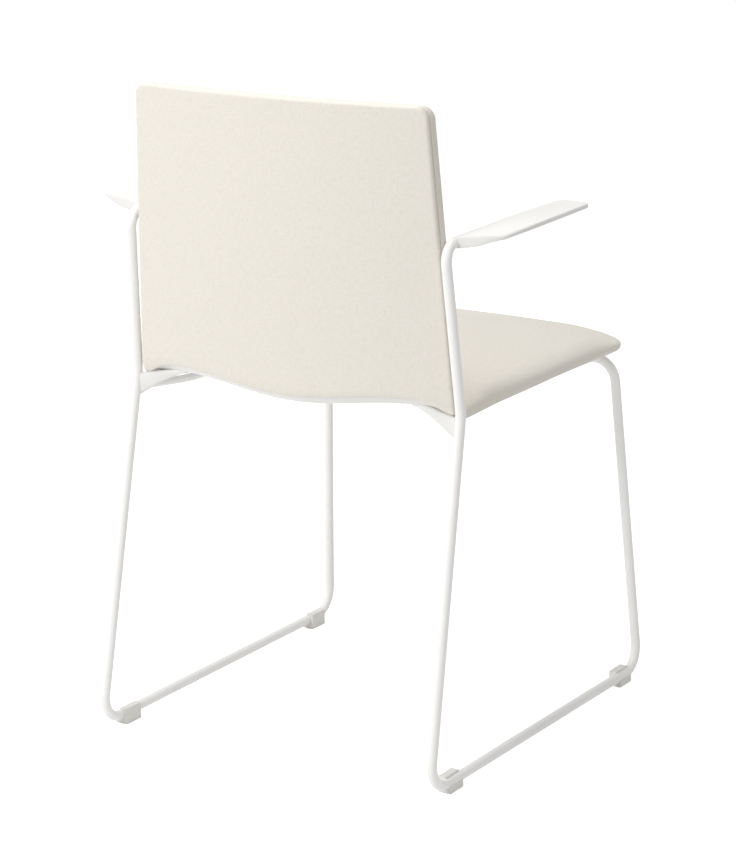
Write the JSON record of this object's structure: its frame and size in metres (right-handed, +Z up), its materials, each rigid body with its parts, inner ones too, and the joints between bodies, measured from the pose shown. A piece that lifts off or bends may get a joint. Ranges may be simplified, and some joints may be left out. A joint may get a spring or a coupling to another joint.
{
  "type": "sled base visitor chair",
  "caption": "Visitor chair with a bent-rod sled frame, a continuous upholstered seat and back shell, and slim moulded armrests.",
  "frame": {"origin": "on the floor, at the middle of the footprint", "axes": "+Z up, the sitter faces -Y, +X is the sitter's left"},
  "size_m": [0.592, 0.566, 0.832],
  "materials": {
    "powder_coat": "satin white powder coat",
    "white_plastic": "smooth satin white plastic",
    "glide_plastic": "matte off-white plastic",
    "upholstery": "plain woven cream fabric",
    "steel": "plain zinc-plated steel",
    "brass": "turned brass"
  },
  "bodies": {
    "root": {"left_side_rod": "powder_coat", "right_side_rod": "powder_coat", "front_crossbar": "powder_coat", "rear_crossbar": "powder_coat", "left_seat_rail": "powder_coat", "right_seat_rail": "powder_coat", "left_front_tab": "powder_coat", "left_rear_tab": "powder_coat", "right_front_tab": "powder_coat", "right_rear_tab": "powder_coat", "shell": "white_plastic", "shell_inserts": "brass", "shell_screws": "steel", "seat_pad": "upholstery", "back_pad": "upholstery", "rear_panel": "upholstery", "left_armrest": "white_plastic", "right_armrest": "white_plastic", "left_arm_screw": "steel", "right_arm_screw": "steel", "left_front_glide": "glide_plastic", "left_rear_glide": "glide_plastic", "right_front_glide": "glide_plastic", "right_rear_glide": "glide_plastic"}
  },
  "joints": []
}
